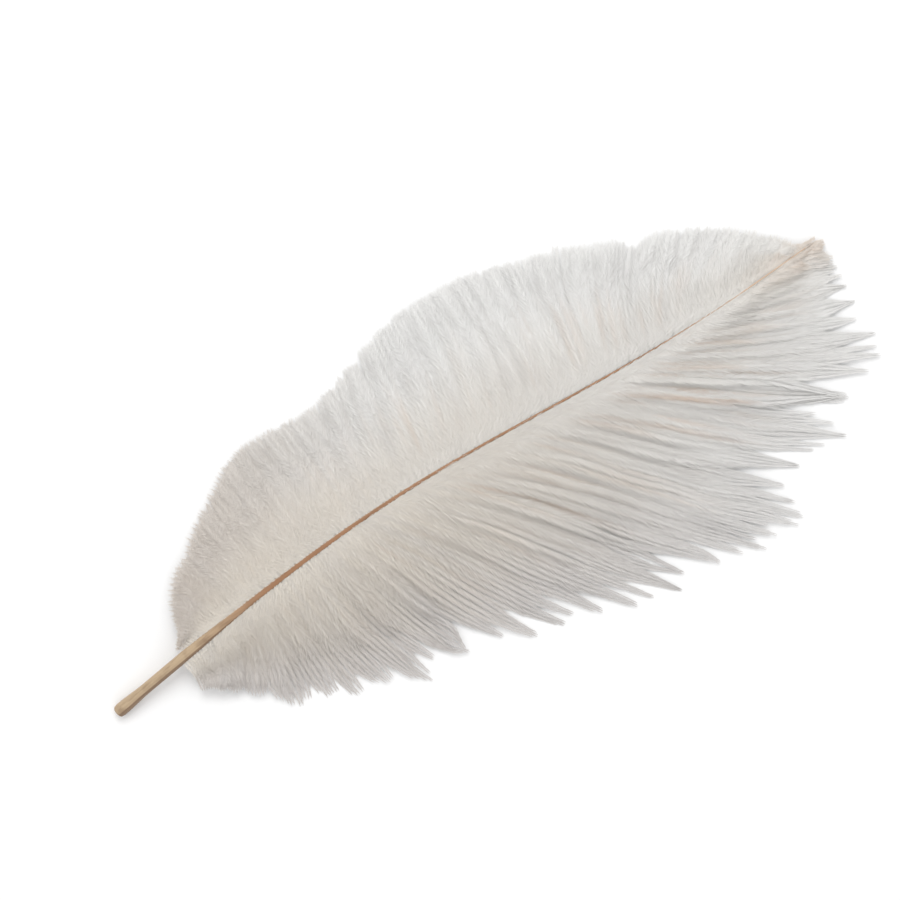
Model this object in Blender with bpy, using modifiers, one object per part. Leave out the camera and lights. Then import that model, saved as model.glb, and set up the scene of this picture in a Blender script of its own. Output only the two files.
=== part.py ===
"""An ostrich feather lying on a surface, upper side up.

One grown shaft (the bare quill, and the rachis that it thins into) carries two vanes. Each vane is the row of
long, loose barbs on one side of the rachis; the whole row strips from the shaft, so it is a piece of its own.
The shaft arches off the surface, and the soft barbs droop from it until their outer ends lie flat.

+X runs from the quill's end to the tip, +Y is the left vane seen from above, +Z is up, and the origin is on the
surface under the middle of the feather.
"""

import math
import random

import bmesh
import bpy

MM = 0.001

# Overall
FEATHER_LENGTH = 300.0  # the chord from the quill's blunt end to the rachis tip, in mm
CENTRE_X = 153.2  # the chord position under the middle of the bounding box, in mm
CENTRE_Y = -8.8  # the offset from the chord to the middle of the bounding box, in mm

# Shaft, in mm: (distance along the chord, width, height)
SHAFT_SECTIONS = [
    (0.0, 3.4, 3.2),
    (0.6, 4.5, 4.3),
    (2.0, 5.0, 4.9),
    (5.0, 4.9, 4.7),
    (12.0, 4.0, 4.0),
    (31.0, 4.1, 4.0),
    (52.0, 3.3, 3.5),
    (78.0, 2.6, 2.9),
    (115.0, 1.9, 2.3),
    (155.0, 1.3, 1.7),
    (200.0, 0.95, 1.2),
    (250.0, 0.6, 0.8),
    (300.0, 0.3, 0.35),
]
SHAFT_STATIONS = 64  # cross sections along the shaft
SHAFT_SIDES = 14  # points round each cross section
SHAFT_START_HEIGHT = 1.96  # the shaft's middle above the surface at the quill's end, in mm
SHAFT_TIP_HEIGHT = 1.6  # the same at the tip, in mm
SHAFT_ARCH = 13.0  # how far the rachis arches above a straight line, in mm
GROOVE_DEPTH = 0.16  # the furrow under the rachis, as a share of its height

# Vanes, in mm
VANE_START = 30.0  # the first barb's place on the shaft
VANE_END = 298.5  # the last barb's place on the shaft
VANE_THICKNESS = 3.0
VANE_GAP = 0.3  # clear space between a vane and the shaft
VANE_ROWS = 64  # barbs that the vane's surface follows
VANE_STEPS = 9  # spans along each barb
DROOP_END = 0.7  # the share of a barb's length after which it lies on the surface

# (place on the shaft, barb length, its angle to the chord at the shaft, halfway along and at its end)
LEFT_BARBS = [
    (30, 5, 150, 150, 150),
    (36, 7, 150, 150, 150),
    (43, 13, 146, 146, 144),
    (50, 21, 137, 133, 128),
    (60, 28, 122, 112, 104),
    (72, 35, 108, 98, 92),
    (86, 45, 100, 92, 92),
    (100, 47, 98, 94, 100),
    (118, 42, 94, 92, 86),
    (135, 50, 82, 80, 72),
    (152, 56, 73, 77, 86),
    (170, 57, 67, 72, 97),
    (187, 54, 67, 82, 88),
    (203, 50, 71, 82, 62),
    (220, 44, 70, 66, 44),
    (237, 40, 57, 50, 40),
    (253, 33, 44, 36, 27),
    (268, 26, 28, 22, 16),
    (283, 16, 16, 10, 6),
    (298.5, 5, 8, 5, 4),
]
RIGHT_BARBS = [
    (30, 5, 146, 146, 146),
    (36, 8, 146, 146, 144),
    (43, 13, 150, 142, 136),
    (50, 27, 143, 132, 122),
    (60, 36, 124, 108, 104),
    (72, 47, 100, 88, 86),
    (86, 58, 82, 80, 64),
    (100, 67, 66, 82, 60),
    (115, 84, 50, 64, 52),
    (130, 100, 44, 56, 50),
    (147, 110, 42, 51, 52),
    (164, 108, 42, 53, 52),
    (180, 100, 40, 52, 40),
    (196, 97, 38, 44, 34),
    (212, 90, 33, 37, 33),
    (228, 80, 28, 30, 26),
    (245, 62, 24, 22, 22),
    (262, 44, 17, 14, 22),
    (278, 27, 12, 14, 24),
    (290, 13, 14, 18, 24),
    (298.5, 5, 12, 16, 20),
]
KEY_BLEND = 7.0  # how far each listed value is blended with its neighbours, in mm along the shaft
LEFT_RAGGED = 0.02  # how much neighbouring barbs differ in length
RIGHT_RAGGED = 0.07
RAGGED_SEED = 11


def between(keys, column, x):
    """The value of one column of keys at x, straight between neighbouring keys."""
    if x <= keys[0][0]:
        return keys[0][column]
    for low, high in zip(keys, keys[1:]):
        if x <= high[0]:
            share = (x - low[0]) / (high[0] - low[0])
            return low[column] + share * (high[column] - low[column])
    return keys[-1][column]


def blended(keys, column, x):
    """The same, averaged over a short stretch so that nothing kinks."""
    steps = range(-4, 5)
    return sum(between(keys, column, x + KEY_BLEND * step / 4) for step in steps) / len(steps)


def shaft_centre(x):
    """The middle of the shaft, in mm in the feather's own chord frame: a slow S seen from above, an arch from the side."""
    turn = math.pi * x / FEATHER_LENGTH
    side = 6.2 * math.sin(turn) + 3.1 * math.sin(2 * turn) - 0.8 * math.sin(3 * turn)
    share = max(x, 0.0) / FEATHER_LENGTH
    level = SHAFT_START_HEIGHT + (SHAFT_TIP_HEIGHT - SHAFT_START_HEIGHT) * share
    return x, side, level + SHAFT_ARCH * math.sin(math.pi * min(share, 1.0) ** 0.9)


def placed(point):
    """A point of the chord frame, in mm, moved to the object's origin, in metres."""
    return ((point[0] - CENTRE_X) * MM, (point[1] - CENTRE_Y) * MM, point[2] * MM)


def shaft_ring(x):
    """One cross section: round in the quill, boxier with a furrow underneath in the rachis."""
    width = between(SHAFT_SECTIONS, 1, x) / 2
    height = between(SHAFT_SECTIONS, 2, x) / 2
    vaned = min(max((x - 25.0) / 30.0, 0.0), 1.0)
    roundness = 1.0 - 0.3 * vaned
    ahead, behind = shaft_centre(x + 0.5), shaft_centre(x - 0.5)
    run = math.hypot(ahead[0] - behind[0], ahead[1] - behind[1])
    across = (-(ahead[1] - behind[1]) / run, (ahead[0] - behind[0]) / run)
    slope = math.atan2(ahead[2] - behind[2], run)
    centre = shaft_centre(x)
    ring = []
    for step in range(SHAFT_SIDES):
        angle = 2 * math.pi * (step + 0.5) / SHAFT_SIDES
        out, up = math.cos(angle), math.sin(angle)
        out = math.copysign(abs(out) ** roundness, out) * width
        up = math.copysign(abs(up) ** roundness, up) * height
        if up < 0:
            up *= 1.0 - 2.0 * GROOVE_DEPTH * vaned * max(0.0, 1.0 - abs(out) / (0.6 * width))
        lean = -up * math.sin(slope)
        ring.append((
            centre[0] + out * across[0] + lean * across[1],
            centre[1] + out * across[1] - lean * across[0],
            centre[2] + up * math.cos(slope),
        ))
    return ring


def make_shaft(collection, material):
    """The quill and rachis, lofted through cross sections that change from round to boxed."""
    mesh = bmesh.new()
    places = [0.0, 0.6, 2.0, 3.4, 5.0, 8.5, 12.0, 18.0, 24.5]
    left_over = SHAFT_STATIONS - len(places)
    places += [31.0 + (FEATHER_LENGTH - 31.0) * step / (left_over - 1) for step in range(left_over)]
    rings = [[mesh.verts.new(placed(point)) for point in shaft_ring(x)] for x in places]
    for first, second in zip(rings, rings[1:]):
        for step in range(SHAFT_SIDES):
            after = (step + 1) % SHAFT_SIDES
            mesh.faces.new((first[step], first[after], second[after], second[step]))
    mesh.faces.new(rings[0])
    mesh.faces.new(rings[-1])
    bmesh.ops.recalc_face_normals(mesh, faces=mesh.faces)
    return finished("shaft", mesh, collection, material)


def barb_point(side, keys, root, share, stretch):
    """A point of the vane's underside, the given share of the way along the barb that grows at root."""
    length = blended(keys, 1, root) * stretch
    first, middle, last = (math.radians(blended(keys, column, root)) for column in (2, 3, 4))
    width = between(SHAFT_SECTIONS, 1, root) / 2 + VANE_GAP
    centre = shaft_centre(root)
    x, y = centre[0], centre[1] + side * width
    pieces = 24
    for piece in range(pieces):
        part = (piece + 0.5) / pieces * share
        angle = first + (middle - first) * part * 2 if part < 0.5 else middle + (last - middle) * (part * 2 - 1)
        x += math.cos(angle) * length * share / pieces
        y += side * math.sin(angle) * length * share / pieces
    beside = max(shaft_centre(x)[2] - VANE_THICKNESS / 2, 0.0)
    fall = min(share / DROOP_END, 1.0)
    return x, y, beside * (1.0 - fall * fall * (3.0 - 2.0 * fall))


def make_vane(name, side, keys, ragged, collection, material):
    """One vane: a soft sheet that follows the barbs from the shaft to their drooping ends."""
    chance = random.Random(RAGGED_SEED)
    mesh = bmesh.new()
    rows = []
    for row in range(VANE_ROWS):
        root = VANE_START + (VANE_END - VANE_START) * row / (VANE_ROWS - 1)
        inner_row = 2 < row < VANE_ROWS - 3
        reach = chance.uniform(0.3, 1.0) * ragged * (1 if row % 2 else -1) if inner_row else 0.0
        line = []
        for step in range(VANE_STEPS + 1):
            share = step / VANE_STEPS
            line.append(mesh.verts.new(placed(barb_point(side, keys, root, share, 1.0 + reach * share))))
        rows.append(line)
    for first, second in zip(rows, rows[1:]):
        for step in range(VANE_STEPS):
            corners = [first[step], second[step], second[step + 1], first[step + 1]]
            mesh.faces.new(corners if side > 0 else corners[::-1])
    vane = finished(name, mesh, collection, material)
    solid = vane.modifiers.new("Barb depth", "SOLIDIFY")
    solid.thickness = VANE_THICKNESS * MM
    solid.offset = 1.0
    return vane


def finished(name, mesh, collection, material):
    """An object in the collection, smooth shaded, holding this mesh and material."""
    data = bpy.data.meshes.new(name)
    mesh.to_mesh(data)
    mesh.free()
    data.polygons.foreach_set("use_smooth", [True] * len(data.polygons))
    data.materials.append(material)
    made = bpy.data.objects.new(name, data)
    collection.objects.link(made)
    return made


def keratin(name, colour, roughness):
    """The horn that a feather is made of, in one colour."""
    material = bpy.data.materials.new(name)
    material.use_nodes = True
    surface = material.node_tree.nodes["Principled BSDF"]
    surface.inputs["Base Color"].default_value = (*colour, 1.0)
    surface.inputs["Roughness"].default_value = roughness
    surface.inputs["Metallic"].default_value = 0.0
    return material


def main():
    for old in list(bpy.data.objects):
        bpy.data.objects.remove(old)
    collection = bpy.data.collections.new("ostrich_feather")
    bpy.context.scene.collection.children.link(collection)
    make_shaft(collection, keratin("shaft_keratin", (0.45, 0.26, 0.15), 0.4))
    down = keratin("left_barbs", (0.74, 0.70, 0.66), 0.8)
    make_vane("left_vane", 1, LEFT_BARBS, LEFT_RAGGED, collection, down)
    down = keratin("right_barbs", (0.68, 0.63, 0.58), 0.8)
    make_vane("right_vane", -1, RIGHT_BARBS, RIGHT_RAGGED, collection, down)


main()
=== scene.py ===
"""Looks for an ostrich feather: its barbs and barbules, the horn of its shaft, and the stage it lies on."""

import math

import bpy
import numpy as np
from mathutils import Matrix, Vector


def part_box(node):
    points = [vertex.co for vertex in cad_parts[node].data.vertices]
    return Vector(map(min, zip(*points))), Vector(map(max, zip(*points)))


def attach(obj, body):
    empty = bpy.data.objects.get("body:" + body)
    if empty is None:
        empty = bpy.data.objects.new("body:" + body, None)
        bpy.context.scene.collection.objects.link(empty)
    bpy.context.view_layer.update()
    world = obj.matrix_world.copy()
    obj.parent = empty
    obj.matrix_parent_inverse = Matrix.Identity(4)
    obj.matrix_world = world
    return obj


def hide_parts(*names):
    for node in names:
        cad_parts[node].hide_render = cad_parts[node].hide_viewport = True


bl_info = {
    "name": "Ostrich Feather",
    "version": (1, 0, 0),
    "blender": (4, 5, 0),
    "location": "3D View > Sidebar > Feather",
    "description": "Grows the barbs and barbules of an ostrich feather on its solid frame",
    "category": "Object",
}

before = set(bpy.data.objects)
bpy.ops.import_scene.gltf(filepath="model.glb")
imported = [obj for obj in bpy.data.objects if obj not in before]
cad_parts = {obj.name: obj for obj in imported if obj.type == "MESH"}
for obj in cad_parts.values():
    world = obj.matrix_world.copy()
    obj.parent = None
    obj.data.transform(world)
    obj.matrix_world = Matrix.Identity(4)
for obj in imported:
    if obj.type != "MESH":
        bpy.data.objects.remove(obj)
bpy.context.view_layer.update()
MM = 0.001

CHORD_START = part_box("shaft")[0][0]  # the quill's end, which every place along the shaft is measured from
BARE_QUILL = 30.0  # length of the bare quill, in mm
LAST_BARB = 298.5  # place of the last barb, in mm from the quill's end

# (place on the shaft, barb length, its angle to the chord at the shaft, halfway along and at its end)
LEFT_BARBS = [
    (35, 2, 132, 139, 144),
    (43, 9, 142, 144, 144),
    (50, 19, 137, 133, 128),
    (60, 28.5, 122, 112, 104),
    (72, 34, 108, 98, 92),
    (86, 44.5, 100, 92, 92),
    (100, 45.5, 98, 94, 100),
    (118, 40, 94, 92, 86),
    (135, 50, 82, 80, 72),
    (152, 56, 73, 77, 86),
    (170, 57, 67, 72, 97),
    (187, 54, 67, 82, 88),
    (203, 50, 71, 82, 62),
    (220, 44, 70, 66, 44),
    (237, 40, 57, 50, 40),
    (253, 33, 44, 36, 27),
    (268, 24, 26, 18, 10),
    (283, 12, 14, 6, 0),
    (298.5, 3, 6, 0, -4),
]
RIGHT_BARBS = [
    (31, 11.5, 62, 86, 114),
    (36, 13.5, 76, 98, 119),
    (43, 18.5, 96, 110, 123),
    (50, 24, 110, 116, 122),
    (60, 34, 108, 106, 110),
    (72, 47.5, 98, 90, 88),
    (86, 60, 82, 80, 64),
    (100, 71, 66, 82, 60),
    (115, 88, 50, 64, 52),
    (131, 116, 44, 56, 51),
    (147, 119, 42, 51, 51),
    (164, 116, 42, 53, 50),
    (180, 108, 40, 52, 39),
    (196, 107, 38, 44, 34),
    (206, 110, 35, 40, 33),
    (215, 100, 32, 36, 31),
    (228, 85, 28, 30, 26),
    (245, 62, 24, 22, 22),
    (262, 44, 17, 14, 22),
    (278, 27, 12, 14, 24),
    (290, 12, 14, 18, 24),
    (298.5, 3.5, 12, 16, 20),
]
KEY_BLEND = 9.0  # how far along the shaft, in mm, the values listed above run into each other

# Where a vane's edge is cut back: (place on the shaft, half width, share of the barbs' length)
LEFT_BAYS = [(226, 2.5, 0.10), (62, 3.0, 0.06)]
RIGHT_BAYS = [
    (92, 2.0, 0.08),
    (101, 2.5, 0.14),
    (137, 2.6, 0.17),
    (178, 3.5, 0.08),
    (202, 2.6, 0.24),
    (212, 2.3, 0.22),
]

# Where a vane's edge is calmer, with smaller and blunter tufts: (from, to, how much)
LEFT_CALM = []
RIGHT_CALM = [(103, 124, 0.85), (141, 172, 0.6)]
CALM_FADE = 3.0  # how gently, in mm along the shaft, a calm stretch begins and ends

# How far the shaft shows between the vanes: (place on the shaft, from 0 to 1)
BARED = [(40, 1.0), (60, 0.3), (90, 0.05), (150, 0.1), (200, 0.8)]

# How much painted shade darkens the right vane's outer down: (place on the shaft, from 0 to 1)
OUTER_SHADE = [(30, 1), (130, 1), (180, 0.5), (230, 0.1)]

# Pieces that each vane is kept in: (name, first place on the shaft, last place)
LEFT_PIECES = [("base", 0, 155), ("tip", 155, 300)]
RIGHT_PIECES = [("base", 0, 125), ("middle", 125, 165), ("outer", 165, 205), ("tip", 205, 300)]

# Barbs
LINE_POINTS = 30  # points along each barb's line
ROOT_SCATTER = 0.16  # how unevenly the barbs sit on the shaft, as a share of their spacing
SHORTEST_BARB = 2.0  # in mm
LOWEST_BARB = 0.35  # the least height of a barb's middle line over the surface, in mm
LOWEST_REST = 0.3  # the least height that a barb droops to, in mm, before its folds and ridges
EVEN_STRETCH = (70.0, 115.0)  # the barbs are even up to the first place and uneven past the second
STRAY_LENGTH = 1.07  # how long a stray barb grows beside its neighbours
TUFT_SIZES = (2, 7)  # fewest and most barbs whose ends draw to one point
CALM_TUFT = 3  # most barbs in a tuft on a calm stretch
LANCE_SIZE = 10  # bays closer than this many barbs leave one long tuft between them
USUAL_TUFT = 4.0  # barbs in a tuft of ordinary pointedness
RIBBON_SIZES = (2, 6)  # fewest and most barbs that run close together all along
SWAY_WAVE = 34.0  # length of one swing of a ribbon from side to side, in mm
BROAD_SWING = 2.2  # how far, in degrees, the whole vane swings in slow waves
LIMP_LENGTH = 45.0  # a barb's droop grows with its length over this, in mm, up to a full droop
EVENING_PASSES = 3  # times that each barb inside a vane is drawn between its neighbours
BANK_PASSES = 2  # times that each fringe's bank is blended with its neighbours'
STEEPEST_BANK = 0.5  # steepest slope of a fringe across its barb

# Stems and barbules
STEM_STEP = 3.0  # distance between a stem's cross sections, in mm
STEM_SIDES = 3
STEM_TAPER = 0.8  # how much of its width a stem loses by its end
STEEP_START = (6.0, 20.0)  # over so many mm the first barbules lean out by up to so many degrees more
SOFT_LEAN = 12.0  # how many degrees further out the last barbules lean where the down is soft
STRANDS_PER_METRE = 180.0  # strands of barbules that lean alike
STRAND_LEAN = 13.0  # widest difference, in degrees, between the leans of two strands
SHORT_START = (5.0, 0.45)  # over so many mm the barbules grow to full length from such a share of it
SHAFT_LAP = 0.1  # how far, in mm, a barbule may reach over the edge of its room

# Stage
SENSOR_WIDTH = 36.0  # in mm
VIEW_CENTRE = (-0.0021, 0.0200)  # the spot on the surface at the middle of the view, in metres
LAMP_PLACE = (0.25, 0.6, 0.9)  # in metres
LAMP_TILT = (-33.7, 15.5)  # turns about X and Y that aim the lamp at the feather, in degrees
FLOOR_REACH = 2.0  # from the middle of the surface to its sides, in metres


def millimetres(name, description, default):
    """A length property that holds metres and is written here in millimetres."""
    return bpy.props.FloatProperty(
        name=name, description=description, default=default * MM, unit="LENGTH", precision=5
    )


def share(name, description, default):
    """A plain fraction."""
    return bpy.props.FloatProperty(name=name, description=description, default=default, subtype="FACTOR")


def turn(name, description, degrees):
    """An angle property written here in degrees."""
    return bpy.props.FloatProperty(
        name=name, description=description, default=math.radians(degrees), subtype="ANGLE", unit="ROTATION"
    )


def colour(name, description, default):
    """A linear colour."""
    return bpy.props.FloatVectorProperty(
        name=name, description=description, default=default, subtype="COLOR", min=0.0, max=1.0
    )


class FeatherBarbs(bpy.types.PropertyGroup):
    """Sizes of the barbs and of the barbules that grow along them."""

    barb_spacing: millimetres("Barb spacing", "Distance between neighbouring barbs on the shaft", 1.25)
    barb_width: millimetres("Barb width", "Thickness of a barb where it leaves the shaft", 0.11)
    barbule_spacing: millimetres("Barbule spacing", "Distance between neighbouring barbules on a barb", 0.05)
    barbule_length: millimetres("Barbule length", "Length of a barbule in the middle of a barb", 6.0)
    barbule_width: millimetres("Barbule width", "Width of a barbule at its widest", 0.115)
    rest_height: millimetres("Rest height", "How far a barb's middle lies above the surface", 1.2)
    ridge_height: millimetres("Ridge height", "How far one ribbon of barbs stands over its neighbours", 0.25)
    swell_height: millimetres("Swell height", "How far the vane's surface rises and sinks in slow waves", 0.7)
    droop_end: share("Droop end", "Share of a barb after which it lies on the surface", 0.7)
    ribbon_gather: share("Ribbon gather", "How far neighbouring barbs run together in ribbons", 0.22)
    seed: bpy.props.IntProperty(name="Seed", description="Start of every random choice", default=7)


def vane_group(title, about, gather, ragged, point, sway, fold, lean, end_lean, end_length):
    """A property group with one vane's habit of growth."""
    fields = {
        "gather": share("Gather", "How far the barbs draw together at their ends", gather),
        "ragged": share("Ragged", "How unequal the tufts are in length", ragged),
        "point": share("Point", "How far a tuft's outer barbs fall short of its middle one", point),
        "sway": turn("Sway", "How far a ribbon of barbs swings from side to side", sway),
        "fold": millimetres("Fold", "How far the vane's soft folds rise and sink", fold),
        "lean": turn("Lean", "Angle between a barb and its barbules near the shaft", lean),
        "end_lean": turn("End lean", "The same angle at the barb's end", end_lean),
        "end_length": share("End length", "Length of the last barbules beside the middle ones", end_length),
    }
    return type(title, (bpy.types.PropertyGroup,), {"__doc__": about, "__annotations__": fields})


LeftVane = vane_group(
    "LeftVane", "Habit of the soft, even left vane.",
    gather=0.12, ragged=0.015, point=0.015, sway=2.0, fold=0.2, lean=28.0, end_lean=26.0, end_length=0.5,
)
RightVane = vane_group(
    "RightVane", "Habit of the long, ragged right vane.",
    gather=0.9, ragged=0.07, point=0.11, sway=3.0, fold=0.36, lean=26.0, end_lean=6.0, end_length=0.3,
)


class FeatherColours(bpy.types.PropertyGroup):
    """Colours of the horn and down."""

    down: colour("Down", "The outer barbules", (0.805, 0.80, 0.785))
    cream: colour("Cream", "The barbules near the shaft", (0.77, 0.72, 0.645))
    base: colour("Base", "The greyer down near the quill", (0.625, 0.57, 0.515))
    peach: colour("Peach", "The rusty streaks and the tip", (0.67, 0.48, 0.34))
    # Painted shade: the cool streaks between ribbons and the darker outer down of the right vane. The fine
    # streaks of each barb's own tone use it too.
    shade: colour("Shade", "The cool streaks between ribbons", (0.56, 0.54, 0.535))
    horn: colour("Horn", "The shaft's upper side", (0.31, 0.155, 0.075))
    # This colour is the horn's own dark streaks and blotches, and also painted shade on the shaft's right
    # flank, away from the lamp.
    dark_horn_and_shade: colour("Dark horn", "The shaft's right flank and its streaks", (0.15, 0.08, 0.04))
    # The quill colour is also painted as light on the shaft's left flank, the side towards the lamp.
    quill: colour("Quill", "The bare quill", (0.46, 0.34, 0.215))
    surface: colour("Surface", "What the feather lies on", (0.9, 0.9, 0.9))


class FeatherStage(bpy.types.PropertyGroup):
    """The camera and lamps."""

    view_width: millimetres("View width", "Width of what the camera sees at the surface", 322.3)
    view_turn: turn("View turn", "Angle of the chord above level", 34.05)
    lens: bpy.props.FloatProperty(name="Lens", description="Focal length", default=120.0, unit="CAMERA")
    sky: bpy.props.FloatProperty(name="Sky", description="Strength of the even light", default=0.95)
    lamp: bpy.props.FloatProperty(name="Lamp", description="Main lamp", default=4.5, unit="POWER")


class Field:
    """A socket of a node, written in sums."""

    def __init__(self, graph, socket):
        self.graph, self.socket = graph, socket

    def sum_with(self, operation, *others):
        return self.graph.maths(operation, self, *others)

    def __add__(self, other):
        return self.sum_with("ADD", other)

    def __sub__(self, other):
        return self.sum_with("SUBTRACT", other)

    def __rsub__(self, other):
        return self.graph.maths("SUBTRACT", other, self)

    def __mul__(self, other):
        return self.sum_with("MULTIPLY", other)

    def __truediv__(self, other):
        return self.sum_with("DIVIDE", other)

    __radd__, __rmul__ = __add__, __mul__


class Graph:
    """Adds nodes to a tree, shader or geometry."""

    def __init__(self, tree):
        self.tree = tree

    def set_input(self, socket, value):
        if isinstance(value, Field):
            self.tree.links.new(value.socket, socket)
        else:
            socket.default_value = value

    def add(self, kind, settings=None, inputs=None, output=None):
        """A node of this kind, with its settings made first, then its inputs by name or number."""
        made = self.tree.nodes.new(kind)
        for name, value in (settings or {}).items():
            setattr(made, name, value)
        for name, value in (inputs or {}).items():
            socket = made.inputs[name] if isinstance(name, int) else shown(made.inputs, name)
            for each in value if isinstance(value, list) else [value]:
                self.set_input(socket, each)
        if output is None:
            found = next((s for s in made.outputs if s.enabled), None)
        else:
            found = shown(made.outputs, output)
        return Field(self, found) if found else made

    def maths(self, operation, *values):
        return self.add("ShaderNodeMath", {"operation": operation}, dict(enumerate(values)))

    def vector_maths(self, operation, *values):
        return self.add("ShaderNodeVectorMath", {"operation": operation}, dict(enumerate(values)))

    def scaled(self, vector, amount):
        return self.add("ShaderNodeVectorMath", {"operation": "SCALE"}, {0: vector, "Scale": amount})

    def mapped(self, value, low, high, to_low, to_high, smooth=False):
        kind = {"interpolation_type": "SMOOTHSTEP" if smooth else "LINEAR"}
        ends = {"Value": value, "From Min": low, "From Max": high, "To Min": to_low, "To Max": to_high}
        return self.add("ShaderNodeMapRange", kind, ends)

    def mixed_colour(self, factor, first, second):
        return self.add("ShaderNodeMix", {"data_type": "RGBA"}, {"Factor": factor, "A": first, "B": second})


def shown(sockets, name):
    """The socket of this name that the node's settings leave in use."""
    return next(s for s in sockets if s.name == name and s.enabled)


def opaque(value):
    """A colour property as four numbers."""
    return (*value, 1.0)


def blended(keys, column, places):
    """One column of keys at each place, averaged over a short stretch so that nothing kinks."""
    table = np.array(keys, float)
    shifts = np.linspace(-KEY_BLEND, KEY_BLEND, 9)
    return np.mean([np.interp(places + shift, table[:, 0], table[:, column]) for shift in shifts], axis=0)


def eased(low, high, value):
    """Smooth step from 0 at low to 1 at high."""
    part = np.clip((value - low) / (high - low), 0.0, 1.0)
    return part * part * (3.0 - 2.0 * part)


class Shaft:
    """The solid shaft's middle line and half width, read from the frame."""

    FIRST_RING = 20.0  # mm from the quill's end, past the blunt end's crowded cross sections

    def __init__(self):
        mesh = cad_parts["shaft"].data
        points = np.empty(len(mesh.vertices) * 3)
        mesh.vertices.foreach_get("co", points)
        points = points.reshape(-1, 3)
        points = np.unique(points.round(6), axis=0)
        points = points[points[:, 0] > CHORD_START + self.FIRST_RING * MM]
        rings = np.split(points, np.flatnonzero(np.diff(points[:, 0]) > MM) + 1)
        lows = np.array([ring.min(axis=0) for ring in rings])
        highs = np.array([ring.max(axis=0) for ring in rings])
        self.middle = (lows + highs) / 2
        self.spread = (highs - lows) / 2
        self.places = self.middle[:, 0]

    def side(self, places):
        return np.interp(places, self.places, self.middle[:, 1])

    def height(self, places):
        return np.interp(places, self.places, self.middle[:, 2])

    def half_width(self, places):
        return np.interp(places, self.places, self.spread[:, 1])


def groups_of_barbs(roots, sizes, breaks, calm, chance):
    """The group that each barb belongs to, and where in it the barb lies, from -1 to 1."""
    number = len(roots)
    group, place = np.zeros(number, int), np.zeros(number)
    start = which = 0
    cuts = sorted(np.searchsorted(roots, breaks))
    lances = {low: high for low, high in zip(cuts, cuts[1:]) if high - low < LANCE_SIZE}
    while start < number:
        size = int(chance.integers(sizes[0], sizes[1] + 1))
        size = min(size, CALM_TUFT) if calm[start] > 0.5 else size
        stop = min(start + size, number)
        for cut in cuts:
            stop = cut if start < cut < stop + 1 else stop
        stop = lances.get(start, stop)
        members = np.arange(start, stop)
        group[members] = which
        place[members] = np.linspace(-1, 1, len(members)) if len(members) > 1 else 0.0
        start, which = stop, which + 1
    return group, place


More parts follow.
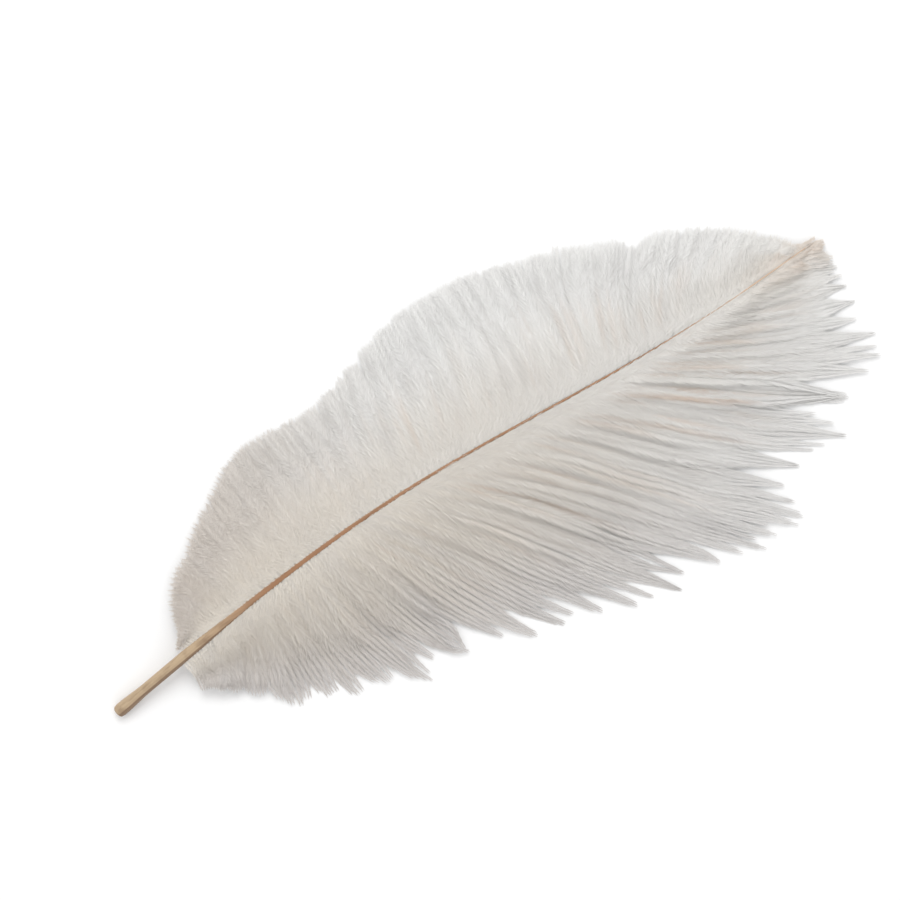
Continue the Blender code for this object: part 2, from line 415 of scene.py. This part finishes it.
class Vane:
    """One vane's barbs: a line for each from the shaft to its end, in metres, and facts for its barbules.

    Arrays that run along the barbs have a row for each barb and a column for each point of its line.
    """

    def __init__(self, side, keys, bays, calms, settings, habit):
        self.side, self.keys, self.bays = side, keys, bays
        self.settings, self.habit = settings, habit
        self.shaft = Shaft()
        self.chance = np.random.default_rng(settings.seed + (side > 0))
        spacing = settings.barb_spacing / MM
        roots = np.arange(keys[0][0], LAST_BARB, spacing)
        self.roots = roots + self.chance.normal(0, ROOT_SCATTER, len(roots)) * spacing
        self.calm = self.calmness(calms)
        self.uneven = eased(*EVEN_STRETCH, self.roots)
        self.along = np.linspace(0, 1, LINE_POINTS)

        # A tuft's barbs meet at their ends; a ribbon's run close together all along.
        breaks = [bay[0] for bay in bays]
        self.tuft, self.tuft_place = groups_of_barbs(self.roots, TUFT_SIZES, breaks, self.calm, self.chance)
        never = np.zeros(len(roots))
        self.ribbon, self.ribbon_place = groups_of_barbs(self.roots, RIBBON_SIZES, [], never, self.chance)
        tufts, ribbons = self.tuft.max() + 1, self.ribbon.max() + 1
        self.shortfall, self.draw = self.chance.uniform(0, 1, (tufts, 2))[self.tuft].T
        of_ribbon = self.chance.normal(0, 1, (ribbons, 4))[self.ribbon]
        self.phase, self.swing, self.rest, self.lift = (of_ribbon[:, each:each + 1] for each in range(4))
        self.stray = self.chance.uniform(0, 1, len(roots)) < 0.4 * habit.ragged
        self.grow()

    def calmness(self, calms):
        """How calm the vane's edge is at each barb, from 0 to 1."""
        calm = np.zeros(len(self.roots))
        for low, high, amount in calms:
            begun = eased(low - CALM_FADE, low + CALM_FADE, self.roots)
            ended = eased(high - CALM_FADE, high + CALM_FADE, self.roots)
            calm = np.maximum(calm, amount * begun * (1 - ended))
        return calm

    def lengths(self):
        """Each barb's length in mm, before and after the vane's edge is cut into bays and tufts."""
        whole = blended(self.keys, 1, self.roots)
        length = whole
        for where, half_width, depth in self.bays:
            length = length * (1 - depth * np.exp(-(((self.roots - where) / half_width) ** 2)))
        broadness = np.clip(np.bincount(self.tuft)[self.tuft] / USUAL_TUFT, 0.8, 2.0)
        point = self.habit.point * broadness * (0.3 + 0.7 * self.uneven) * (1 - 0.6 * self.calm)
        ragged = self.habit.ragged
        off_centre = np.abs(self.tuft_place) ** 1.4
        length = length * (1 + 0.3 * point - ragged * self.shortfall - point * off_centre)
        length = length * (1 + self.chance.normal(0, 0.2 * ragged, len(length)))
        return whole, np.maximum(length * np.where(self.stray, STRAY_LENGTH, 1.0), SHORTEST_BARB)

    def listed_angle(self, column):
        """One of the listed angles for each barb, in radians."""
        return np.radians(blended(self.keys, column, self.roots))[:, None]

    def angles(self, length):
        """The way that each step of each barb heads, away from the chord, in radians."""
        middle = (self.along[1:] + self.along[:-1]) / 2
        first, half, last = (self.listed_angle(column) for column in (2, 3, 4))
        inner = first + (half - first) * middle * 2
        outer = half + (last - half) * (middle * 2 - 1)
        waves = np.sin(length[:, None] * middle / SWAY_WAVE * math.tau + self.phase * 1.2)
        sway = self.habit.sway * waves * self.swing * eased(0.05, 0.5, middle)
        sway = sway * (0.4 + 0.6 * self.uneven)[:, None]
        broad = np.radians(BROAD_SWING) * np.sin(self.roots[:, None] / 13.0 + middle * 5.0) * middle
        own = 0.15 * self.habit.sway * self.chance.normal(0, 1, len(length))[:, None] * middle
        return np.where(middle < 0.5, inner, outer) + sway + broad + own

    def plan(self, length, angle, bared):
        """The lines seen from above, before they have heights."""
        step = (length * MM / (LINE_POINTS - 1))[:, None]
        start = np.zeros((len(length), 1))
        x0 = CHORD_START + self.roots * MM
        y0 = self.shaft.side(x0) + self.side * (0.3 + 0.5 * bared) * self.shaft.half_width(x0)
        x = x0[:, None] + np.concatenate([start, np.cumsum(np.cos(angle) * step, 1)], 1)
        y = y0[:, None] + self.side * np.concatenate([start, np.cumsum(np.sin(angle) * step, 1)], 1)

        strength = (0.2 + 0.8 * self.uneven)[:, None]
        ribbon_pull = self.settings.ribbon_gather * strength * eased(0.1, 0.6, self.along)
        drawn_from = 0.66 + 0.22 * self.draw[:, None]
        drawn = np.clip((self.along - drawn_from) / (1 - drawn_from), 0, 1) ** 1.5
        tuft_pull = self.habit.gather * strength * (1 - 0.5 * self.calm[:, None]) * drawn
        for group, pull in ((self.ribbon, ribbon_pull), (self.tuft, tuft_pull)):
            for which in range(group.max() + 1):
                members = group == which
                x[members] += pull[members] * (x[members].mean(axis=0) - x[members])
                y[members] += pull[members] * (y[members].mean(axis=0) - y[members])

        # Inside the vane the barbs are evened out, so that no bare slot opens between ribbons.
        evened = 0.8 * eased(0.03, 0.15, self.along) * (1 - eased(0.6, 0.85, self.along))
        for line in (x, y) * EVENING_PASSES:
            between = (line[:-2] + 2 * line[1:-1] + line[2:]) / 4
            line[1:-1] += evened * (between - line[1:-1])
        return x, y

    def heights(self, x, whole, length, bared):
        """How high each point lies, from the shaft's flank down to the surface."""
        along, roots, settings = self.along, self.roots[:, None], self.settings
        # A barb that is cut short droops like its whole neighbours.
        fall = eased(0.05, settings.droop_end, along * (length / whole)[:, None])
        fall = fall * np.minimum(0.15 + whole[:, None] / LIMP_LENGTH, 1.0)
        flank = self.shaft.height(x) + (0.97 - 0.6 * bared[:, None]) * self.shaft.half_width(x)
        rest = settings.rest_height * (1.0 + 0.12 * self.rest * eased(0.3, 0.9, along))
        z = flank * (1 - fall) + np.maximum(rest, LOWEST_REST * MM) * fall
        swell = np.sin(roots / 4.7 + along * 6.0) * np.sin(roots / 9.1 - along * 3.5)
        z = z + settings.swell_height * swell * eased(0.1, 0.5, along)
        fold = np.sin(roots / 1.2 + 2.5 * np.sin(along * 2.6 + roots / 17.0))
        fold = fold * eased(0.06, 0.3, along) * (1 - 0.5 * eased(0.8, 1, along))
        closeness = np.clip(np.sin(self.listed_angle(2)), 0.15, 1.0) * (0.6 + 0.4 * self.uneven[:, None])
        z = z + self.habit.fold * closeness * fold
        ridge = (0.75 + 0.35 * self.lift) * (0.6 - self.ribbon_place[:, None] ** 2)
        z = z + settings.ridge_height * closeness * ridge * eased(0.08, 0.4, along)
        return np.maximum(z, LOWEST_BARB * MM)

    def banks(self, x, y, z, heading):
        """How steeply each barb's fringe banks to meet its neighbours': a vane is one soft sheet."""
        along_x, along_y = np.cos(heading), self.side * np.sin(heading)
        gap = np.gradient(x, axis=0) * along_y - np.gradient(y, axis=0) * along_x
        bank = np.gradient(z, axis=0) * -np.sign(gap) / np.maximum(np.abs(gap), 0.5 * MM)
        for _ in range(BANK_PASSES):
            bank[1:-1] = (bank[:-2] + 2 * bank[1:-1] + bank[2:]) / 4
        settled = eased(42.0, 60.0, self.roots) * (1 - eased(272.0, 292.0, self.roots))
        bank = np.clip(bank, -STEEPEST_BANK, STEEPEST_BANK)
        return bank * eased(0.02, 0.15, self.along) * settled[:, None]

    def grow(self):
        """Makes the lines and the facts."""
        roots, side = self.roots, self.side
        bared = np.interp(roots, *zip(*BARED))
        whole, length = self.lengths()
        angle = self.angles(length)
        x, y = self.plan(length, angle, bared)
        z = self.heights(x, whole, length, bared)
        self.lines = np.stack([x, y, z], axis=2)

        heading = np.concatenate([angle[:, :1], angle], axis=1)
        room = np.abs(y - self.shaft.side(x)) - (0.4 + 0.4 * bared[:, None]) * self.shaft.half_width(x)
        # Painted shade on the right vane's outer down, strongest near the quill.
        dull = np.interp(roots, *zip(*OUTER_SHADE)) * (side < 0)
        fluff = np.clip(length / 22.0, 0.45, 1.0) * np.where(self.stray, 0.6, 1.0)
        facts = {
            "bank": self.banks(x, y, z, heading),  # slope of the fringe across the barb
            "root": roots[:, None] * MM,  # the barb's place on the shaft
            "room": np.maximum(room, 0.0),  # how far off the shaft is
            "open": heading,  # the barb's angle to the chord
            "soft": 1 - eased(60.0, 90.0, roots)[:, None] * (side < 0),  # how loose the last barbules are
            "rust": 1.0 if side < 0 else 0.4,  # how strong the streaks are
            "forward": -float(side),  # which hand of the barb faces the shaft
            "dull": dull[:, None],  # painted shade on the right vane's outer down
            "fluff": fluff[:, None],  # how long the barbules grow
        }
        self.facts = {name: np.broadcast_to(values, x.shape) for name, values in facts.items()}


def line_object(name, lines, facts):
    """A mesh of open lines, one for each barb, carrying the facts as attributes."""
    number, each = lines.shape[:2]
    mesh = bpy.data.meshes.new(name)
    starts = np.arange(number * each).reshape(number, each)
    edges = np.stack([starts[:, :-1].ravel(), starts[:, 1:].ravel()], axis=1)
    mesh.vertices.add(number * each)
    mesh.vertices.foreach_set("co", lines.ravel())
    mesh.edges.add(len(edges))
    mesh.edges.foreach_set("vertices", edges.ravel())
    for fact, values in facts.items():
        mesh.attributes.new(fact, "FLOAT", "POINT").data.foreach_set("value", values.ravel())
    mesh.update()
    made = bpy.data.objects.new(name, mesh)
    bpy.context.scene.collection.objects.link(made)
    return made


def barbule_blade():
    """One barbule: a thin pointed blade, one unit long and one unit wide, bowed outwards."""
    corners = [(0, 0, 0), (0.42, 2.4, 0), (0.42, 3.4, 0), (1, 0, 0)]
    mesh = bpy.data.meshes.new("barbule")
    mesh.from_pydata(corners, [], [(0, 1, 2), (1, 3, 2)])
    made = bpy.data.objects.new("barbule", mesh)
    bpy.context.scene.collection.objects.link(made)
    return made


BARB_INPUTS = {
    "Lines": "NodeSocketGeometry",
    "Barb Width": "NodeSocketFloat",
    "Barbule Spacing": "NodeSocketFloat",
    "Barbule Length": "NodeSocketFloat",
    "Barbule Width": "NodeSocketFloat",
    "Lean": "NodeSocketFloat",
    "End Lean": "NodeSocketFloat",
    "End Length": "NodeSocketFloat",
    "Barbule": "NodeSocketObject",
    "Down": "NodeSocketMaterial",
    "Seed": "NodeSocketInt",
}


class BarbGraph(Graph):
    """The node tree that turns lines into barbs with a fringe of barbules on each side."""

    def __init__(self):
        super().__init__(bpy.data.node_groups.new("Barbs with barbules", "GeometryNodeTree"))
        for name, kind in BARB_INPUTS.items():
            self.tree.interface.new_socket(name, in_out="INPUT", socket_type=kind)
        self.tree.interface.new_socket("Barbs", in_out="OUTPUT", socket_type="NodeSocketGeometry")
        self.source = self.tree.nodes.new("NodeGroupInput")
        self.lines = self.add("GeometryNodeMeshToCurve", None, {"Mesh": self.given("Lines")})
        self.along = self.add("GeometryNodeSplineParameter", None, None, "Factor")
        self.distance = self.add("GeometryNodeSplineParameter", None, None, "Length")
        both = self.add("GeometryNodeJoinGeometry", None, {"Geometry": [self.stems(), self.fringes()]})
        both = self.add("GeometryNodeRealizeInstances", None, {"Geometry": both})
        lifted = {"Geometry": both, "Offset": self.off_the_surface()}
        both = self.add("GeometryNodeSetPosition", None, lifted)
        both = self.add("GeometryNodeSetMaterial", None, {"Geometry": both, "Material": self.given("Down")})
        sink = self.tree.nodes.new("NodeGroupOutput")
        self.tree.links.new(both.socket, sink.inputs["Barbs"])

    def given(self, name):
        return Field(self, self.source.outputs[name])

    def fact(self, name):
        return self.add("GeometryNodeInputNamedAttribute", {"data_type": "FLOAT"}, {"Name": name})

    def chance(self, low, high, salt):
        ends = {"Min": low, "Max": high, "Seed": self.given("Seed") + salt}
        return self.add("FunctionNodeRandomValue", {"data_type": "FLOAT"}, ends)

    def spread(self, spacing):
        """The lines cut into steps of this length, each point knowing how far along its barb it is."""
        steps = {"Curve": self.lines, "Length": spacing}
        points = self.add("GeometryNodeResampleCurve", {"mode": "LENGTH"}, steps)
        kept = {"Geometry": points, "Name": "along", "Value": self.along}
        return self.add("GeometryNodeStoreNamedAttribute", {"data_type": "FLOAT"}, kept)

    def stems(self):
        """The barbs themselves, which taper to a hair."""
        taper = self.given("Barb Width") * 0.5 * (1 - self.along * STEM_TAPER)
        ring = self.add("GeometryNodeCurvePrimitiveCircle", None, {"Resolution": STEM_SIDES, "Radius": 1.0})
        parts = {"Curve": self.spread(STEM_STEP * MM), "Profile Curve": ring, "Scale": taper}
        return self.add("GeometryNodeCurveToMesh", None, parts)

    def fringes(self):
        """Barbules that leave a barb in turn to either side, more steeply at first than at its end."""
        tangent = self.add("GeometryNodeInputTangent")
        level = self.vector_maths("NORMALIZE", self.vector_maths("CROSS_PRODUCT", (0, 0, 1), tangent))
        banked = self.add("ShaderNodeCombineXYZ", None, {"Z": self.fact("bank")})
        across = self.vector_maths("NORMALIZE", self.vector_maths("ADD", level, banked))
        out_of_vane = self.vector_maths("CROSS_PRODUCT", tangent, across)
        hand = self.maths("MODULO", self.add("GeometryNodeInputIndex"), 2.0) * 2 - 1
        lean = self.lean()
        rise = self.chance(-0.09, 0.14, 2) * (1 - self.along * 0.6)
        forth = self.scaled(tangent, self.maths("COSINE", lean))
        aside = self.scaled(across, self.maths("SINE", lean) * hand)
        heading = self.vector_maths("ADD", forth, aside)
        heading = self.vector_maths("ADD", heading, self.scaled(out_of_vane, rise))
        tilt = self.scaled(across, self.chance(-0.22, 0.22, 3))
        face = self.vector_maths("ADD", self.scaled(out_of_vane, hand), tilt)
        turned = self.add("FunctionNodeAxesToRotation", {"primary_axis": "X", "secondary_axis": "Z"},
                          {"Primary Axis": heading, "Secondary Axis": face})
        blade = self.add("GeometryNodeObjectInfo", None, {"Object": self.given("Barbule")}, "Geometry")
        size = {"X": self.reach(lean, hand), "Y": self.given("Barbule Width"), "Z": 1.0}
        return self.add("GeometryNodeInstanceOnPoints", None, {
            "Points": self.spread(self.given("Barbule Spacing")),
            "Instance": blade,
            "Rotation": turned,
            "Scale": self.add("ShaderNodeCombineXYZ", None, size),
        })

    def lean(self):
        """The angle between a barb and its barbules."""
        end_lean = self.given("End Lean") + self.fact("soft") * math.radians(SOFT_LEAN)
        lean = self.mapped(self.along, 0.45, 1.0, self.given("Lean"), end_lean)
        steep_until, steeper = STEEP_START
        lean = lean + self.mapped(self.distance, 0.0, steep_until * MM, math.radians(steeper), 0.0)
        place = {"Vector": self.add("GeometryNodeInputPosition"), "Scale": STRANDS_PER_METRE, "Detail": 1.0}
        strand = self.add("ShaderNodeTexNoise", {"noise_dimensions": "3D"}, place) - 0.5
        own = self.chance(-math.radians(4), math.radians(5), 1)
        return lean + strand * math.radians(STRAND_LEAN) + own

    def reach(self, lean, hand):
        """A barbule's length, cut short where it would cross the shaft."""
        short_until, shortest = SHORT_START
        swell = self.mapped(self.distance, 0.0, short_until * MM, shortest, 1.0)
        fade = self.mapped(self.along, 0.7, 1.0, 1.0, self.given("End Length"), True)
        long = self.given("Barbule Length") * swell * fade * self.fact("fluff") * self.chance(0.7, 1.2, 4)
        closing = self.maths("SINE", hand * self.fact("forward") * lean - self.fact("open"))
        room = self.fact("room") + SHAFT_LAP * MM
        return self.maths("MINIMUM", long, room / self.maths("MAXIMUM", closing, 0.03))

    def off_the_surface(self):
        """The lift that keeps every point just above the surface."""
        place = self.add("GeometryNodeInputPosition")
        height = self.add("ShaderNodeSeparateXYZ", None, {"Vector": place}, "Z")
        return self.add("ShaderNodeCombineXYZ", None, {"Z": self.maths("MAXIMUM", 0.1 * MM - height, 0.0)})


def grown(name, lines, facts, tree, values):
    """Runs the tree on these lines and keeps the result as a plain mesh object."""
    made = line_object(name, lines, facts)
    growth = made.modifiers.new("Barbs", "NODES")
    growth.node_group = tree
    for item in tree.interface.items_tree:
        if item.name in values:
            growth[item.identifier] = values[item.name]
    graph = bpy.context.evaluated_depsgraph_get()
    mesh = bpy.data.meshes.new_from_object(made.evaluated_get(graph), depsgraph=graph)
    if not mesh.polygons:
        raise RuntimeError(f"{name} grew no barbs")
    made.modifiers.clear()
    old = made.data
    made.data = mesh
    bpy.data.meshes.remove(old)
    mesh.name = name
    return made


def lay_flat_map(mesh):
    """A map of the piece from above, for anything painted on it later."""
    margin = 0.01
    places = np.empty(len(mesh.vertices) * 3)
    mesh.vertices.foreach_get("co", places)
    places = places.reshape(-1, 3)[:, :2]
    places = (places - places.min(axis=0)) / np.ptp(places, axis=0).max()
    corners = np.empty(len(mesh.loops), np.int32)
    mesh.loops.foreach_get("vertex_index", corners)
    layer = mesh.uv_layers.new(name="OFBake")
    layer.uv.foreach_set("vector", (places * (1 - 2 * margin) + margin)[corners].ravel())


def shader_graph(name):
    """A new material and the graph of its empty tree."""
    material = bpy.data.materials.new(name)
    material.use_nodes = True
    material.node_tree.nodes.clear()
    return material, Graph(material.node_tree)


def down_material(colours):
    """Down: cream by the shaft, greyer near the quill, white outside, with rusty and cool streaks."""
    material, graph = shader_graph("ostrich_down")

    def fact(name):
        return graph.add("ShaderNodeAttribute", {"attribute_name": name}, None, "Fac")

    def tinted(base, factor, tint):
        return graph.mixed_colour(factor, base, opaque(tint))

    along, root, rust = fact("along"), fact("root"), fact("rust")

    def streaks(across, lengthwise, low, high):
        """A mask of streaks that follow the barbs, so many to a metre of shaft and so many along a barb."""
        place = graph.add("ShaderNodeCombineXYZ", None, {"X": root * across, "Y": along * lengthwise})
        noise = graph.add("ShaderNodeTexNoise", None, {"Vector": place, "Scale": 1.0})
        return graph.mapped(noise, low, high, 0.0, 1.0)

    near_shaft = graph.mapped(along, 0.0, 0.6 + rust * 0.4, 1.0, 0.0, True)
    near_shaft = near_shaft * graph.mapped(root, 150 * MM, 220 * MM, 1.0, 0.55, True)
    past_quill = graph.mapped(root, 50 * MM, 130 * MM + rust * (60 * MM), 0.0, 1.0, True)
    near_tip = graph.mapped(root, 240 * MM, 290 * MM, 0.0, 0.4, True)
    at_tip = graph.mapped(root, 265 * MM, 294 * MM, 0.0, 0.25, True)
    base = graph.mixed_colour(past_quill, opaque(colours.base), opaque(colours.down))
    base = tinted(base, near_shaft * (1 - past_quill * (0.5 - rust * 0.15)), colours.cream)
    base = tinted(base, near_tip, colours.cream)
    base = tinted(base, at_tip, colours.peach)

    inner = graph.mapped(along, 0.02, 0.15, 0.0, 1.0, True) * graph.mapped(along, 0.4, 0.85, 1.0, 0.0, True)
    rusty = streaks(650.0, 1.1, 0.5, 0.7) * streaks(25.0, 0.8, 0.35, 0.6) * inner
    base = tinted(base, rusty * rust * (0.15 + past_quill * 0.5), colours.peach)
    fine = streaks(900.0, 0.5, 0.4, 0.65) * graph.mapped(along, 0.05, 0.7, 0.06 + rust * 0.2, 0.04, True)
    outer = graph.mapped(along, 0.3, 0.95, 0.0, 0.55, True)
    # Painted shade in broad streaks between ribbons and on the right vane's outer down. The fine streaks are
    # each barb's own tone.
    base = tinted(base, streaks(200.0, 2.0, 0.45, 0.7) * 0.16 + fine + fact("dull") * outer, colours.shade)
    surface = graph.add("ShaderNodeBsdfPrincipled", None, {
        "Base Color": base,
        "Roughness": 0.75,
        "Specular IOR Level": 0.25,
    })
    graph.add("ShaderNodeOutputMaterial", None, {"Surface": surface})
    return material


def horn_material(colours):
    """The shaft's horn: a mottled quill and a tan rachis, darker on its right flank and paler to the tip."""
    material, graph = shader_graph("shaft_horn")

    def tinted(base, factor, tint):
        return graph.mixed_colour(factor, base, opaque(tint))

    place = graph.add("ShaderNodeTexCoord", None, None, "Object")
    x = graph.add("ShaderNodeSeparateXYZ", None, {"Vector": place}, "X")
    quill_end = CHORD_START + BARE_QUILL * MM
    bare = graph.mapped(x, quill_end, quill_end + 45 * MM, 1.0, 0.0, True)
    to_tip = graph.mapped(x, 70 * MM, 135 * MM, 0.0, 0.75, True)
    stretched = graph.add("ShaderNodeMapping", None, {"Vector": place, "Scale": (60.0, 900.0, 900.0)})
    fibre = graph.add("ShaderNodeTexNoise", None, {"Vector": stretched, "Scale": 1.0, "Detail": 3.0})
    blotch = graph.add("ShaderNodeTexNoise", None, {"Vector": place, "Scale": 160.0, "Detail": 4.0})
    facing = graph.add("ShaderNodeNewGeometry", None, None, "Normal")
    flank = graph.add("ShaderNodeSeparateXYZ", None, {"Vector": facing}, "Y")

    base = graph.mixed_colour(bare, opaque(colours.horn), opaque(colours.quill))
    base = tinted(base, graph.mapped(fibre, 0.45, 0.75, 0.0, 0.55), colours.dark_horn_and_shade)
    base = tinted(base, graph.mapped(blotch, 0.5, 0.7, 0.0, 0.5) * bare, colours.dark_horn_and_shade)
    # Painted shade on the right flank, the side turned away from the lamp.
    base = tinted(base, graph.mapped(flank, -0.1, -0.75, 0.0, 0.8, True), colours.dark_horn_and_shade)
    # Painted light on the left flank, the side turned towards the lamp.
    base = tinted(base, graph.mapped(flank, 0.3, 0.8, 0.0, 0.5, True), colours.quill)
    base = tinted(base, to_tip, colours.peach)
    bump = graph.add("ShaderNodeBump", None, {"Strength": 0.25, "Distance": 0.2 * MM, "Height": fibre})
    surface = graph.add("ShaderNodeBsdfPrincipled", None, {
        "Base Color": base,
        "Roughness": graph.mapped(blotch, 0.3, 0.7, 0.34, 0.55),
        "Normal": bump,
    })
    graph.add("ShaderNodeOutputMaterial", None, {"Surface": surface})
    return material


def tree_values(settings, habit, down, blade, salt):
    """The barb tree's inputs for one piece."""
    return {
        "Lean": habit.lean,
        "End Lean": habit.end_lean,
        "End Length": habit.end_length,
        "Barb Width": settings.barb_width,
        "Barbule Spacing": settings.barbule_spacing,
        "Barbule Length": settings.barbule_length,
        "Barbule Width": settings.barbule_width,
        "Barbule": blade,
        "Down": down,
        "Seed": settings.seed * 100 + salt,
    }


def grow_vane(context, node, vane, pieces):
    """Grows one vane as these pieces, which stand in for the solid of that name."""
    down = bpy.data.materials.get("ostrich_down") or down_material(context.scene.feather_colours)
    tree = bpy.data.node_groups.get("Barbs with barbules") or BarbGraph().tree
    blade = barbule_blade()
    made = []
    for salt, (title, low, high) in enumerate(pieces):
        chosen = (vane.roots >= low) & (vane.roots < high)
        facts = {name: values[chosen] for name, values in vane.facts.items()}
        values = tree_values(vane.settings, vane.habit, down, blade, salt)
        piece = grown(f"{node}_{title}", vane.lines[chosen], facts, tree, values)
        lay_flat_map(piece.data)
        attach(piece, "root")
        made.append(piece)
    for piece in made:
        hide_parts(node)
    bpy.data.objects.remove(blade)


class FEATHER_OT_left_vane(bpy.types.Operator):
    """Grows the smooth-edged left vane."""

    bl_idname = "feather.left_vane"
    bl_label = "Left Vane"

    def execute(self, context):
        scene = context.scene
        vane = Vane(1, LEFT_BARBS, LEFT_BAYS, LEFT_CALM, scene.feather_barbs, scene.feather_left)
        grow_vane(context, "left_vane", vane, LEFT_PIECES)
        return {"FINISHED"}


class FEATHER_OT_right_vane(bpy.types.Operator):
    """Grows the long, ragged right vane."""

    bl_idname = "feather.right_vane"
    bl_label = "Right Vane"

    def execute(self, context):
        scene = context.scene
        vane = Vane(-1, RIGHT_BARBS, RIGHT_BAYS, RIGHT_CALM, scene.feather_barbs, scene.feather_right)
        grow_vane(context, "right_vane", vane, RIGHT_PIECES)
        return {"FINISHED"}


class FEATHER_OT_shaft(bpy.types.Operator):
    """Gives the shaft its horn."""

    bl_idname = "feather.shaft"
    bl_label = "Shaft"

    def execute(self, context):
        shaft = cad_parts["shaft"]
        shaft.data.materials.clear()
        shaft.data.materials.append(horn_material(context.scene.feather_colours))
        return {"FINISHED"}


class FEATHER_OT_stage(bpy.types.Operator):
    """Lays the surface and sets up the camera and lamps."""

    bl_idname = "feather.stage"
    bl_label = "Stage"

    def execute(self, context):
        scene = context.scene
        self.lay_surface(scene)
        self.light(scene)
        self.aim_camera(scene)
        scene.view_settings.view_transform = "Standard"
        return {"FINISHED"}

    def lay_surface(self, scene):
        mesh = bpy.data.meshes.new("surface")
        corners = [(x * FLOOR_REACH, y * FLOOR_REACH, 0) for x, y in ((-1, -1), (1, -1), (1, 1), (-1, 1))]
        mesh.from_pydata(corners, [], [(0, 1, 2, 3)])
        floor = bpy.data.objects.new("surface", mesh)
        scene.collection.objects.link(floor)
        plain = bpy.data.materials.new("surface_paper")
        plain.use_nodes = True
        paper = plain.node_tree.nodes["Principled BSDF"]
        paper.inputs["Base Color"].default_value = opaque(scene.feather_colours.surface)
        paper.inputs["Roughness"].default_value = 0.9
        paper.inputs["Specular IOR Level"].default_value = 0.1
        mesh.materials.append(plain)

    def light(self, scene):
        world = bpy.data.worlds.new("studio")
        scene.world = world
        world.use_nodes = True
        sky = world.node_tree.nodes["Background"]
        sky.inputs["Color"].default_value = (1.0, 1.0, 1.0, 1.0)
        sky.inputs["Strength"].default_value = scene.feather_stage.sky
        lamp = bpy.data.lights.new("soft_box", "AREA")
        lamp.energy = scene.feather_stage.lamp
        lamp.size = 0.6
        box = bpy.data.objects.new("soft_box", lamp)
        scene.collection.objects.link(box)
        box.location = LAMP_PLACE
        box.rotation_euler = (math.radians(LAMP_TILT[0]), math.radians(LAMP_TILT[1]), 0.0)

    def aim_camera(self, scene):
        stage = scene.feather_stage
        camera = bpy.data.cameras.new("camera")
        camera.lens = stage.lens
        camera.sensor_width = SENSOR_WIDTH
        camera.clip_end = 20.0
        eye = bpy.data.objects.new("camera", camera)
        scene.collection.objects.link(eye)
        eye.location = (*VIEW_CENTRE, stage.view_width * stage.lens / SENSOR_WIDTH)
        eye.rotation_euler = (0.0, 0.0, -stage.view_turn)
        scene.camera = eye


OPERATORS = [FEATHER_OT_left_vane, FEATHER_OT_right_vane, FEATHER_OT_shaft, FEATHER_OT_stage]

GROUPS = {
    "feather_barbs": FeatherBarbs,
    "feather_left": LeftVane,
    "feather_right": RightVane,
    "feather_colours": FeatherColours,
    "feather_stage": FeatherStage,
}


class FEATHER_PT_panel(bpy.types.Panel):
    """Lists the steps that make the feather, and its sizes and colours."""

    bl_idname = "FEATHER_PT_panel"
    bl_label = "Feather"
    bl_space_type = "VIEW_3D"
    bl_region_type = "UI"
    bl_category = "Feather"

    def draw(self, context):
        for operator in OPERATORS:
            self.layout.operator(operator.bl_idname)
        for title, group in GROUPS.items():
            for name in group.__annotations__:
                self.layout.prop(getattr(context.scene, title), name)


def register():
    for made in [*GROUPS.values(), *OPERATORS, FEATHER_PT_panel]:
        bpy.utils.register_class(made)
    for name, group in GROUPS.items():
        setattr(bpy.types.Scene, name, bpy.props.PointerProperty(type=group))


def unregister():
    for name in GROUPS:
        delattr(bpy.types.Scene, name)
    for made in [FEATHER_PT_panel, *OPERATORS, *GROUPS.values()]:
        bpy.utils.unregister_class(made)


def main():
    register()
    for operator in OPERATORS:
        group, name = operator.bl_idname.split(".")
        getattr(getattr(bpy.ops, group), name)()


if __name__ == "__main__":
    main()
